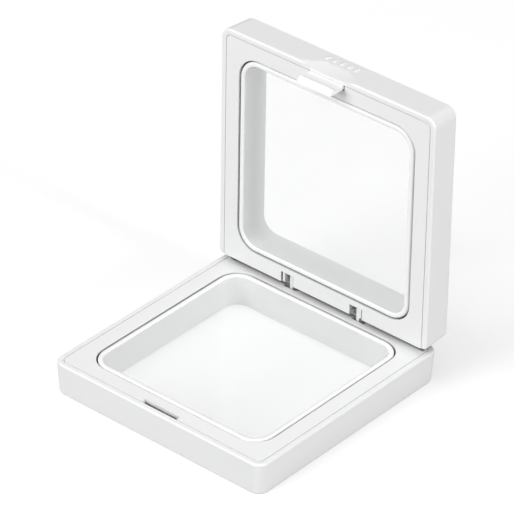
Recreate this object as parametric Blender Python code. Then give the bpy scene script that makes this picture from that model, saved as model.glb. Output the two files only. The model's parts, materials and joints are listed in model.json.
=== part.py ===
"""Hinged display case that holds a coin or medal between two clear stretched films.

Two square halves, the base and the lid, are built alike: a tray-shaped shell, a flat face plate set into
its mouth, a ring that carries the clear film, and the film. The lid turns on two short pins at the back,
and a sprung tongue in the lid hooks under the front rim of the base.

The case stands on Z = 0 with the lid open at a right angle. X runs along the hinge and +Y points to it.
Each half is drawn by depth: 0 is its inner face, and depth grows towards its outer face.
"""

import math
from dataclasses import dataclass

import bmesh
import bpy
from mathutils import Matrix

MM = 0.001

# Driving dimensions
CASE_HALF = 35.0 * MM
BASE_THICKNESS = 9.4 * MM
LID_THICKNESS = 9.15 * MM
CLOSED_GAP = 0.3 * MM
FIT_GAP = 0.3 * MM
OPEN_ANGLE = math.radians(90)

# Hinge line, from the centre of the base's underside
HINGE_Y = 32.8 * MM
HINGE_Z = 12.6 * MM

# Shells: the walls stand further out at the mouth than at the outer face, by MOUTH_FLARE
MOUTH_FLARE = 0.5 * MM
CORNER_RADIUS = 3.0 * MM
RIM_WIDTH = 1.05 * MM
MOUTH_CORNER = 1.75 * MM
WALL = 2.0 * MM
BEZEL_THICKNESS = 1.2 * MM
LID_BACK = 34.05 * MM
OUTER_EDGE_RADIUS = 0.35 * MM
RIM_EDGE_RADIUS = 0.55 * MM

# Face plates
PLATE_THICKNESS = 1.0 * MM

# Film rings and films
WINDOW_HALF = 27.4 * MM
WINDOW_CORNER = 4.6 * MM
RING_WALL = 1.55 * MM
RING_GAP = 0.45 * MM
RING_LIP_RADIUS = 0.5 * MM
FLANGE_REACH = 1.65 * MM
FLANGE_THICKNESS = 1.0 * MM
FILM_THICKNESS = 0.3 * MM
FILM_DEPTH = 0.2 * MM

# Hinge
HINGE_CENTRE = 11.75 * MM
NOTCH_WIDTH = 4.3 * MM
NOTCH_HEIGHT = 4.1 * MM
NOTCH_DEPTH = 5.25 * MM
EAR_CENTRE = 11.4 * MM
EAR_THICKNESS = 0.96 * MM
EAR_RADIUS = 1.45 * MM
PIN_RADIUS = 0.6 * MM
PIN_HOLE_RADIUS = 0.74 * MM
INNER_CHEEK = (8.1 * MM, 9.4 * MM)
OUTER_CHEEK = (12.75 * MM, 13.4 * MM)
CHEEK_FRONT_Y = 31.1 * MM
POCKET_FRONT_Y = 31.05 * MM
RELIEF_DEPTH = 0.45 * MM
RELIEF_FRONT_Y = 31.6 * MM
RELIEF_HALF = 33.1 * MM

# Latch: distances from the middle of the case to the tongue's two sides
TONGUE_HALF_WIDTH = 5.6 * MM
TONGUE_OUTER = 33.55 * MM
TONGUE_INNER = 32.75 * MM
TONGUE_ROOT_DEPTH = 6.8 * MM
TONGUE_ROOT_RADIUS = 0.55 * MM
HOOK_REACH = 5.5 * MM
BARB_PEAK = 34.3 * MM
BARB_DEPTH = 3.7 * MM
SLOT_BACK = 32.35 * MM

# Thumb scoop and grip ribs on the lid's front wall
SCOOP_CAP_RADIUS = 11.5 * MM
SCOOP_CAP_DEPTH = 1.15 * MM
SCOOP_CENTRE_DEPTH = -6.5 * MM
RIB_COUNT = 5
RIB_PITCH = 2.4 * MM
RIB_SIZE = (0.7 * MM, 0.6 * MM, 2.0 * MM)
RIB_PROUD = 0.2 * MM
RIB_CENTRE_DEPTH = 6.5 * MM

# How far a cutter runs past what it cuts
OVERRUN = 1.0 * MM

# Distances worked out from the driving dimensions
MOUTH_HALF = CASE_HALF - RIM_WIDTH
CAVITY_HALF = CASE_HALF - WALL
PLATE_HALF = MOUTH_HALF - FIT_GAP
RING_HALF = WINDOW_HALF + RING_WALL
OPENING_HALF = RING_HALF + RING_GAP
OPENING_CORNER = WINDOW_CORNER + RING_WALL + RING_GAP
PLATE_CORNER = MOUTH_CORNER - FIT_GAP / 2
SHELF_DEPTH = PLATE_THICKNESS + FIT_GAP
LID_FACE_Z = BASE_THICKNESS + CLOSED_GAP - HINGE_Z
LID_OUTER_Y = HINGE_Y + LID_FACE_Z + LID_THICKNESS
CASE_CENTRE_Y = (CASE_HALF + MOUTH_FLARE - LID_OUTER_Y) / 2


@dataclass(frozen=True)
class Half:
    """One half of the case: where its inner face lies and which way its depth runs, in its parent's frame."""

    name: str
    thickness: float
    face_z: float
    outward: int
    shift_y: float
    parent: bpy.types.Object

    def span(self, near, far):
        """Returns the lowest and highest z between two depths."""
        ends = (self.face_z + self.outward * near, self.face_z + self.outward * far)
        return min(ends), max(ends)

    def wall(self, depth):
        """Returns how far the outer wall stands from the middle of the case at a depth."""
        return CASE_HALF + MOUTH_FLARE * (1 - depth / self.thickness)

    def y(self, distance):
        """Returns the parent's y for a distance from the middle of the closed case."""
        return distance - self.shift_y


def clear_scene():
    """Removes everything that the scene held."""
    for obj in list(bpy.data.objects):
        bpy.data.objects.remove(obj, do_unlink=True)


def make_collection(name):
    """Adds a collection to the scene."""
    collection = bpy.data.collections.new(name)
    bpy.context.scene.collection.children.link(collection)
    return collection


def make_material(name, colour, roughness, metallic=0.0, alpha=1.0):
    """Makes a Principled material."""
    material = bpy.data.materials.new(name)
    material.use_nodes = True
    shader = material.node_tree.nodes["Principled BSDF"]
    shader.inputs["Base Color"].default_value = (*colour, 1.0)
    shader.inputs["Roughness"].default_value = roughness
    shader.inputs["Metallic"].default_value = metallic
    shader.inputs["Alpha"].default_value = alpha
    return material


def make_empty(name, location, parent=None, turn_x=0.0):
    """Makes an empty, as the frame that a group of parts hangs on."""
    empty = bpy.data.objects.new(name, None)
    bpy.context.scene.collection.objects.link(empty)
    empty.location = location
    empty.rotation_euler.x = turn_x
    empty.parent = parent
    return empty


def add_part(name, bm, parent, material):
    """Turns a bmesh into a part of the case."""
    obj = add_body(name, bm, parent, parts)
    obj.data.materials.append(material)
    return obj


def add_tool(name, bm, parent):
    """Turns a bmesh into a body that only cuts or joins a part."""
    obj = add_body(name, bm, parent, tools)
    obj.hide_render = True
    obj.display_type = "WIRE"
    return obj


def add_body(name, bm, parent, collection):
    """Turns a bmesh into an object of one collection."""
    bmesh.ops.recalc_face_normals(bm, faces=bm.faces)
    mesh = bpy.data.meshes.new(name)
    bm.to_mesh(mesh)
    bm.free()
    obj = bpy.data.objects.new(name, mesh)
    collection.objects.link(obj)
    obj.parent = parent
    mesh.shade_smooth()
    mesh.set_sharp_from_angle(angle=math.radians(30))
    return obj


def boolean(part, tool, operation="DIFFERENCE"):
    """Adds an exact Boolean to a part."""
    modifier = part.modifiers.new(f"{operation.lower()} {tool.name}", "BOOLEAN")
    modifier.operation = operation
    modifier.solver = "EXACT"
    modifier.object = tool


def box(low, high):
    """Returns a bmesh box between two corners."""
    bm = bmesh.new()
    bmesh.ops.create_cube(bm, size=1.0)
    for vert in bm.verts:
        for axis in range(3):
            vert.co[axis] = high[axis] if vert.co[axis] > 0 else low[axis]
    return bm


def rounded_slab(half, corner, low, high, shift_y=0.0, segments=8):
    """Returns a square slab with round corners, centred on x = 0, y = -shift_y."""
    bm = box((-half, -half - shift_y, low), (half, half - shift_y, high))
    upright = [edge for edge in bm.edges if abs(edge.verts[0].co.z - edge.verts[1].co.z) > 0]
    bmesh.ops.bevel(
        bm, geom=upright, offset=corner, segments=segments, profile=0.5, affect="EDGES", clamp_overlap=True
    )
    return bm


def round_rim(bm, level, radius, segments=3):
    """Rounds every edge that runs round a slab at one level."""
    rim = [edge for edge in bm.edges if all(abs(vert.co.z - level) < FIT_GAP / 10 for vert in edge.verts)]
    bmesh.ops.bevel(
        bm, geom=rim, offset=radius, segments=segments, profile=0.5, affect="EDGES", clamp_overlap=True
    )


def flare_walls(bm, half):
    """Widens a half's slab towards its inner face, where the walls stand furthest out."""
    for vert in bm.verts:
        depth = (vert.co.z - half.face_z) * half.outward
        share = half.wall(depth) / CASE_HALF
        vert.co.x *= share
        vert.co.y = (vert.co.y + half.shift_y) * share - half.shift_y


def rod(radius, low_x, high_x, y=0.0, z=0.0, sides=20):
    """Returns a cylinder along x."""
    bm = bmesh.new()
    bmesh.ops.create_cone(
        bm, cap_ends=True, segments=sides, radius1=radius, radius2=radius, depth=high_x - low_x
    )
    for vert in bm.verts:
        across, up, along = vert.co
        vert.co = (along + (low_x + high_x) / 2, across + y, up + z)
    return bm


def prism(outline, low_x, high_x):
    """Returns a solid with a (y, z) outline, drawn out along x."""
    bm = bmesh.new()
    face = bm.faces.new([bm.verts.new((low_x, y, z)) for y, z in outline])
    drawn = bmesh.ops.extrude_face_region(bm, geom=[face])
    for item in drawn["geom"]:
        if isinstance(item, bmesh.types.BMVert):
            item.co.x = high_x
    return bm


def lens(cap_radius, cap_depth, sides=40, rings=8):
    """Returns a turned cutter along +y: a shallow spherical cap whose deepest point is at y = cap_depth."""
    sphere_radius = (cap_radius**2 + cap_depth**2) / (2 * cap_depth)
    bm = bmesh.new()
    profile = [bm.verts.new((0.0, cap_depth, 0.0))]
    reach = 1.15 * cap_radius
    for ring in range(1, rings + 1):
        radius = reach * ring / rings
        sag = sphere_radius - math.sqrt(sphere_radius**2 - radius**2)
        profile.append(bm.verts.new((radius, cap_depth - sag, 0.0)))
    profile.append(bm.verts.new((reach, -OVERRUN, 0.0)))
    profile.append(bm.verts.new((0.0, -OVERRUN, 0.0)))
    edges = [bm.edges.new(pair) for pair in zip(profile, profile[1:])]
    bmesh.ops.spin(
        bm, geom=profile + edges, cent=(0, 0, 0), axis=(0, 1, 0), angle=math.tau, steps=sides, use_merge=True
    )
    bmesh.ops.remove_doubles(bm, verts=bm.verts, dist=FIT_GAP / 100)
    return bm


def shell(half):
    """Makes the tray-shaped shell of one half: walls, a ledge for the face plate, and a framed window."""
    low, high = half.span(0, half.thickness)
    face, outer = (high, low) if half.outward < 0 else (low, high)
    bm = rounded_slab(CASE_HALF, CORNER_RADIUS, low, high, half.shift_y)
    round_rim(bm, outer, OUTER_EDGE_RADIUS)
    round_rim(bm, face, RIM_EDGE_RADIUS)
    flare_walls(bm, half)
    part = add_part(f"{half.name}_shell", bm, half.parent, white_plastic)
    bezel = half.thickness - BEZEL_THICKNESS
    cuts = {
        "mouth": (MOUTH_HALF, MOUTH_CORNER, -OVERRUN, SHELF_DEPTH),
        "cavity": (CAVITY_HALF, CORNER_RADIUS - WALL, SHELF_DEPTH - FIT_GAP, bezel),
        "window": (OPENING_HALF, OPENING_CORNER, bezel - OVERRUN, half.thickness + OVERRUN),
    }
    for cut, (size, corner, near, far) in cuts.items():
        slab = rounded_slab(size, corner, *half.span(near, far), half.shift_y)
        boolean(part, add_tool(f"{half.name}_{cut}_cutter", slab, half.parent))
    return part


def face_plate(half):
    """Makes the flat frame that closes one half's mouth around its film ring."""
    bm = rounded_slab(PLATE_HALF, PLATE_CORNER, *half.span(0, PLATE_THICKNESS), half.shift_y)
    part = add_part(f"{half.name}_face_plate", bm, half.parent, white_plastic)
    near, far = half.span(-OVERRUN, PLATE_THICKNESS + OVERRUN)
    opening = rounded_slab(OPENING_HALF, OPENING_CORNER, near, far, half.shift_y)
    boolean(part, add_tool(f"{half.name}_opening_cutter", opening, half.parent))
    return part


def film_ring(half):
    """Makes the deep ring that carries one half's film, with a rounded lip and a foot inside the shell."""
    near, far = half.span(0, half.thickness - FIT_GAP)
    lip = far if half.outward < 0 else near
    bm = rounded_slab(RING_HALF, WINDOW_CORNER + RING_WALL, near, far, half.shift_y)
    round_rim(bm, lip, RING_LIP_RADIUS)
    part = add_part(f"{half.name}_film_ring", bm, half.parent, white_plastic)
    foot = half.thickness - BEZEL_THICKNESS - FIT_GAP
    flange = rounded_slab(
        RING_HALF + FLANGE_REACH,
        WINDOW_CORNER + RING_WALL + FLANGE_REACH,
        *half.span(foot - FLANGE_THICKNESS, foot),
        half.shift_y,
    )
    boolean(part, add_tool(f"{half.name}_ring_flange", flange, half.parent), "UNION")
    window = rounded_slab(
        WINDOW_HALF, WINDOW_CORNER, *half.span(-OVERRUN, half.thickness + OVERRUN), half.shift_y
    )
    boolean(part, add_tool(f"{half.name}_ring_cutter", window, half.parent))
    return part


def film(half):
    """Makes the clear film stretched across one half's ring, just below the lip."""
    span = half.span(FILM_DEPTH, FILM_DEPTH + FILM_THICKNESS)
    bm = rounded_slab(WINDOW_HALF - FIT_GAP, WINDOW_CORNER - FIT_GAP, *span, half.shift_y)
    return add_part(f"{half.name}_film", bm, half.parent, clear_film)


def ordered(first, second):
    """Returns two numbers as (low, high)."""
    return min(first, second), max(first, second)


def add_hinge_notches(half, parts_to_cut, front_y, depth):
    """Cuts the two hinge openings at the back edge of one half."""
    for side, sign in SIDES.items():
        low_x, high_x = ordered(
            sign * (HINGE_CENTRE - NOTCH_WIDTH / 2), sign * (HINGE_CENTRE + NOTCH_WIDTH / 2)
        )
        low_z, high_z = half.span(-OVERRUN, depth)
        notch = box((low_x, half.y(front_y), low_z), (high_x, half.y(CASE_HALF + OVERRUN), high_z))
        tool = add_tool(f"{half.name}_{side}_notch_cutter", notch, half.parent)
        for part in parts_to_cut:
            boolean(part, tool)


def add_latch_slot(half, plate):
    """Notches the front edge of a face plate, where the tongue passes."""
    width = TONGUE_HALF_WIDTH + FIT_GAP
    low_z, high_z = half.span(-OVERRUN, PLATE_THICKNESS + OVERRUN)
    slot = box((-width, half.y(-MOUTH_HALF), low_z), (width, half.y(-SLOT_BACK), high_z))
    boolean(plate, add_tool(f"{half.name}_slot_cutter", slot, half.parent))


def add_ears(half, part):
    """Joins the two hinge ears to the base shell and bores them for the pins."""
    floor = half.thickness - BEZEL_THICKNESS / 2
    low_z = half.span(floor, floor)[0]
    for side, sign in SIDES.items():
        low_x, high_x = ordered(
            sign * (EAR_CENTRE - EAR_THICKNESS / 2), sign * (EAR_CENTRE + EAR_THICKNESS / 2)
        )
        post = box((low_x, HINGE_Y - EAR_RADIUS, low_z), (high_x, HINGE_Y + EAR_RADIUS, HINGE_Z))
        boolean(part, add_tool(f"{side}_ear_post", post, half.parent), "UNION")
        head = rod(EAR_RADIUS, low_x, high_x, HINGE_Y, HINGE_Z, sides=28)
        boolean(part, add_tool(f"{side}_ear_head", head, half.parent), "UNION")
        bore = rod(PIN_HOLE_RADIUS, low_x - OVERRUN / 2, high_x + OVERRUN / 2, HINGE_Y, HINGE_Z)
        boolean(part, add_tool(f"{side}_ear_bore", bore, half.parent))


def add_cheeks(half, part):
    """Joins the fins that hold the hinge pins to the lid shell, and bores them."""
    floor = half.thickness - BEZEL_THICKNESS / 2
    starts = {"inner": SHELF_DEPTH, "outer": FIT_GAP}
    for side, sign in SIDES.items():
        for kind, (near, far) in {"inner": INNER_CHEEK, "outer": OUTER_CHEEK}.items():
            low_x, high_x = ordered(sign * near, sign * far)
            low_z, high_z = half.span(starts[kind], floor)
            fin = box(
                (low_x, half.y(CHEEK_FRONT_Y), low_z), (high_x, half.y(CASE_HALF - RIM_WIDTH), high_z)
            )
            boolean(part, add_tool(f"{side}_{kind}_cheek", fin, half.parent), "UNION")
            bore = rod(PIN_HOLE_RADIUS, low_x - OVERRUN / 3, high_x + OVERRUN / 3)
            boolean(part, add_tool(f"{side}_{kind}_cheek_bore", bore, half.parent))


def add_pins(half):
    """Makes the two hinge pins on the lid's own axis."""
    for side, sign in SIDES.items():
        low_x, high_x = ordered(sign * INNER_CHEEK[0], sign * OUTER_CHEEK[1])
        add_part(f"hinge_pin_{side}", rod(PIN_RADIUS, low_x, high_x, sides=16), half.parent, steel)


def relieve_back_edge(half, tray, plate):
    """Lowers the base's back rim and opens a channel before it, where the lid's back edge turns."""
    for part, depth in ((tray, RELIEF_DEPTH), (plate, PLATE_THICKNESS + OVERRUN)):
        low_z, high_z = half.span(-OVERRUN, depth)
        relief = box((-RELIEF_HALF, RELIEF_FRONT_Y, low_z), (RELIEF_HALF, CASE_HALF + OVERRUN, high_z))
        boolean(part, add_tool(f"{part.name}_relief_cutter", relief, half.parent))


def square_back_edge(half, tray, plate):
    """Ends the lid's back edge square: no rim there, and the face plate runs out flush with the wall."""
    reach = CASE_HALF + MOUTH_FLARE + OVERRUN
    low_z, high_z = half.span(-OVERRUN, SHELF_DEPTH)
    rim = box((-MOUTH_HALF, half.y(CAVITY_HALF), low_z), (MOUTH_HALF, half.y(reach), high_z))
    boolean(tray, add_tool("back_rim_cutter", rim, half.parent))
    low_z, high_z = half.span(-OVERRUN, half.thickness + OVERRUN)
    back = box((-reach, half.y(LID_BACK), low_z), (reach, half.y(reach), high_z))
    boolean(tray, add_tool("back_edge_cutter", back, half.parent))
    low_z, high_z = half.span(0, PLATE_THICKNESS)
    apron = box((-PLATE_HALF, half.y(CAVITY_HALF - WALL), low_z), (PLATE_HALF, half.y(LID_BACK), high_z))
    boolean(plate, add_tool("plate_apron", apron, half.parent), "UNION")


def add_catch_pocket(half, part):
    """Hollows the base's front wall behind its rim, where the barb hooks in."""
    width = TONGUE_HALF_WIDTH + FIT_GAP
    barb_top = BARB_DEPTH - CLOSED_GAP - 2 * FIT_GAP
    low_z, high_z = half.span(barb_top, HOOK_REACH + FIT_GAP)
    pocket = box((-width, -BARB_PEAK - FIT_GAP, low_z), (width, -CAVITY_HALF + OVERRUN, high_z))
    boolean(part, add_tool("catch_pocket_cutter", pocket, half.parent))
    low_z, high_z = half.span(SHELF_DEPTH / 2, HOOK_REACH + FIT_GAP)
    ledge = box((-width, -MOUTH_HALF, low_z), (width, -CAVITY_HALF + OVERRUN, high_z))
    boolean(part, add_tool("slot_ledge_cutter", ledge, half.parent))


def add_tongue_bay(half, part):
    """Opens the ledge of the lid's front wall for the tongue."""
    width = TONGUE_HALF_WIDTH + FIT_GAP
    low_z, high_z = half.span(SHELF_DEPTH / 2, half.thickness - BEZEL_THICKNESS)
    bay = box((-width, half.y(-MOUTH_HALF), low_z), (width, half.y(-CAVITY_HALF + OVERRUN), high_z))
    boolean(part, add_tool("tongue_bay_cutter", bay, half.parent))


def add_thumb_scoop(half, part):
    """Presses a shallow round dish into the lid's front wall, open at the parting edge."""
    bm = lens(SCOOP_CAP_RADIUS, SCOOP_CAP_DEPTH)
    lean = -half.outward * math.atan2(MOUTH_FLARE, half.thickness)
    bmesh.ops.rotate(bm, verts=bm.verts, cent=(0, 0, 0), matrix=Matrix.Rotation(lean, 3, "X"))
    centre_z = half.face_z + half.outward * SCOOP_CENTRE_DEPTH
    bmesh.ops.translate(bm, verts=bm.verts, vec=(0.0, half.y(-half.wall(SCOOP_CENTRE_DEPTH)), centre_z))
    boolean(part, add_tool("thumb_scoop_cutter", bm, half.parent))


def add_grip_ribs(half, part):
    """Raises a short row of ribs beside the scoop."""
    length_x, length_y, length_z = RIB_SIZE
    middle_z = half.face_z + half.outward * RIB_CENTRE_DEPTH
    for index in range(RIB_COUNT):
        middle_x = (index - (RIB_COUNT - 1) / 2) * RIB_PITCH
        outer_y = half.y(-half.wall(RIB_CENTRE_DEPTH) - RIB_PROUD)
        rib = box(
            (middle_x - length_x / 2, outer_y, middle_z - length_z / 2),
            (middle_x + length_x / 2, outer_y + length_y, middle_z + length_z / 2),
        )
        boolean(part, add_tool(f"grip_rib_{index + 1}", rib, half.parent), "UNION")


def latch_tongue(half):
    """Makes the sprung tongue with its hook, on its own axis at the root."""
    root_y = half.y(-(TONGUE_OUTER + TONGUE_INNER) / 2)
    root_z = half.face_z + half.outward * TONGUE_ROOT_DEPTH
    axis = make_empty("latch_axis", (0.0, root_y, root_z), half.parent)

    def point(distance, depth):
        return half.y(-distance) - root_y, half.face_z + half.outward * depth - root_z

    outline = [
        point(TONGUE_INNER, TONGUE_ROOT_DEPTH),
        point(TONGUE_OUTER, TONGUE_ROOT_DEPTH),
        point(TONGUE_OUTER, -BARB_DEPTH + FIT_GAP),
        point(BARB_PEAK, -BARB_DEPTH),
        point(BARB_PEAK - FIT_GAP / 2, -BARB_DEPTH - FIT_GAP),
        point(TONGUE_INNER + FIT_GAP, -HOOK_REACH),
        point(TONGUE_INNER, -HOOK_REACH + FIT_GAP / 2),
    ]
    blade = prism(outline, -TONGUE_HALF_WIDTH, TONGUE_HALF_WIDTH)
    part = add_part("latch_tongue", blade, axis, white_plastic)
    bead = rod(TONGUE_ROOT_RADIUS, -TONGUE_HALF_WIDTH, TONGUE_HALF_WIDTH, sides=16)
    boolean(part, add_tool("tongue_root_bead", bead, axis), "UNION")


def build_base():
    """Builds the lower half, which stands on the table."""
    half = Half("base", BASE_THICKNESS, BASE_THICKNESS, -1, 0.0, case_frame)
    tray = shell(half)
    plate = face_plate(half)
    film_ring(half)
    film(half)
    add_catch_pocket(half, tray)
    add_latch_slot(half, plate)
    add_hinge_notches(half, [plate], POCKET_FRONT_Y, PLATE_THICKNESS + OVERRUN)
    relieve_back_edge(half, tray, plate)
    add_ears(half, tray)


def build_lid():
    """Builds the upper half on its hinge axis, turned open."""
    hinge = make_empty("lid_hinge_axis", (0.0, HINGE_Y, HINGE_Z), case_frame, -OPEN_ANGLE)
    half = Half("lid", LID_THICKNESS, LID_FACE_Z, 1, HINGE_Y, hinge)
    tray = shell(half)
    plate = face_plate(half)
    film_ring(half)
    film(half)
    square_back_edge(half, tray, plate)
    add_tongue_bay(half, tray)
    add_thumb_scoop(half, tray)
    add_grip_ribs(half, tray)
    add_latch_slot(half, plate)
    add_hinge_notches(half, [tray, plate], CASE_HALF - NOTCH_HEIGHT, NOTCH_DEPTH)
    add_cheeks(half, tray)
    add_pins(half)
    latch_tongue(half)


SIDES = {"left": -1, "right": 1}

clear_scene()
parts = make_collection("coin_capsule")
tools = make_collection("cutters")
white_plastic = make_material("white_plastic", (0.86, 0.86, 0.86), 0.35)
clear_film = make_material("clear_film", (0.97, 0.98, 0.98), 0.05, alpha=0.2)
steel = make_material("steel", (0.62, 0.62, 0.63), 0.3, metallic=1.0)
case_frame = make_empty("case_frame", (0.0, CASE_CENTRE_Y, 0.0))
build_base()
build_lid()
bpy.context.view_layer.update()
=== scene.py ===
"""Looks of a hinged coin display case with a clear stretched film in each half.

The case is white moulded plastic: two square trays, each closed by a flat face frame round a deep ring that
carries the film. The pieces are modelled at their CAD places, in metres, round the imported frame.

Each half is modelled face up in its own plan: x along the hinge, y from the middle towards the hinge, and
z = 0 at the inner face, so that a depth d lies at z = -d. A half's placement then turns it into the frame.
"""

from __future__ import annotations

import json
import logging
import math
from collections.abc import Callable, Sequence
from dataclasses import dataclass, replace
from enum import Enum

import bmesh
import bpy
from mathutils import Matrix, Vector

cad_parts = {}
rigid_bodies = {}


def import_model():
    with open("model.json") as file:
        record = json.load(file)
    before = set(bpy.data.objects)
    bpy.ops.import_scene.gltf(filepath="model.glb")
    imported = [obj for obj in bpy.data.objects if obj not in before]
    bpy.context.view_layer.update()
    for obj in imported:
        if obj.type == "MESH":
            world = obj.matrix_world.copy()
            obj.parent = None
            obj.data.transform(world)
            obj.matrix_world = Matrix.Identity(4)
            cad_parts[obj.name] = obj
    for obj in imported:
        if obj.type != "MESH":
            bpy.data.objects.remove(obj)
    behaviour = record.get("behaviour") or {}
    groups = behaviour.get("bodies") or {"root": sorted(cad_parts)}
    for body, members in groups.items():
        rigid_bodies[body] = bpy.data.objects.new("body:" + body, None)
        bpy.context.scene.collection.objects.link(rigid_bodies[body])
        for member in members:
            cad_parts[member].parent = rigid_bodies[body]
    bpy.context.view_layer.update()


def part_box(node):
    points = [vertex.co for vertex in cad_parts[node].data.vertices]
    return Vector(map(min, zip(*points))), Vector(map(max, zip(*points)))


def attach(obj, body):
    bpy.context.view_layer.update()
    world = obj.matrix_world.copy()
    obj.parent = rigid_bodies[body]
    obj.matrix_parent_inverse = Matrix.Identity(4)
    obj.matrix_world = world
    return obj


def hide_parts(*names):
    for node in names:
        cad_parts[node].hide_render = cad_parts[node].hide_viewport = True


LOG = logging.getLogger("coin_case")
MM = 0.001
CORNER_SEGMENTS = 14
MERGE = 1e-6
ON_OUTLINE = 5e-6
BASE_THICKNESS = 9.4 * MM
LID_THICKNESS = 9.15 * MM
SENSOR_WIDTH = 36.0


class Way(Enum):
    """What a Boolean does with its tool."""

    CUT = "DIFFERENCE"
    JOIN = "UNION"


@dataclass(frozen=True)
class Section:
    """One round-cornered square outline of a framed piece.

    Args:
        half: Half the outline's width.
        corner: Radius of its corners.
        depth: How far it lies below the half's inner face.
        back: How far its back edge lies from the middle, where that is not half its width.
        back_corner: Radius of its two back corners, where that differs.
    """

    half: float
    corner: float
    depth: float
    back: float | None = None
    back_corner: float | None = None

    def holds(self, point: Vector) -> bool:
        """Says whether a point lies on the outline."""
        back = self.half if self.back is None else self.back
        at_back = point.y > 0
        corner = self.back_corner if at_back and self.back_corner is not None else self.corner
        over_x = abs(point.x) - self.half + corner
        over_y = abs(point.y) - (back if at_back else self.half) + corner
        reach = math.hypot(max(over_x, 0.0), max(over_y, 0.0)) + min(max(over_x, over_y), 0.0)
        return abs(point.z + self.depth) < MERGE and abs(reach - corner) < ON_OUTLINE


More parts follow.
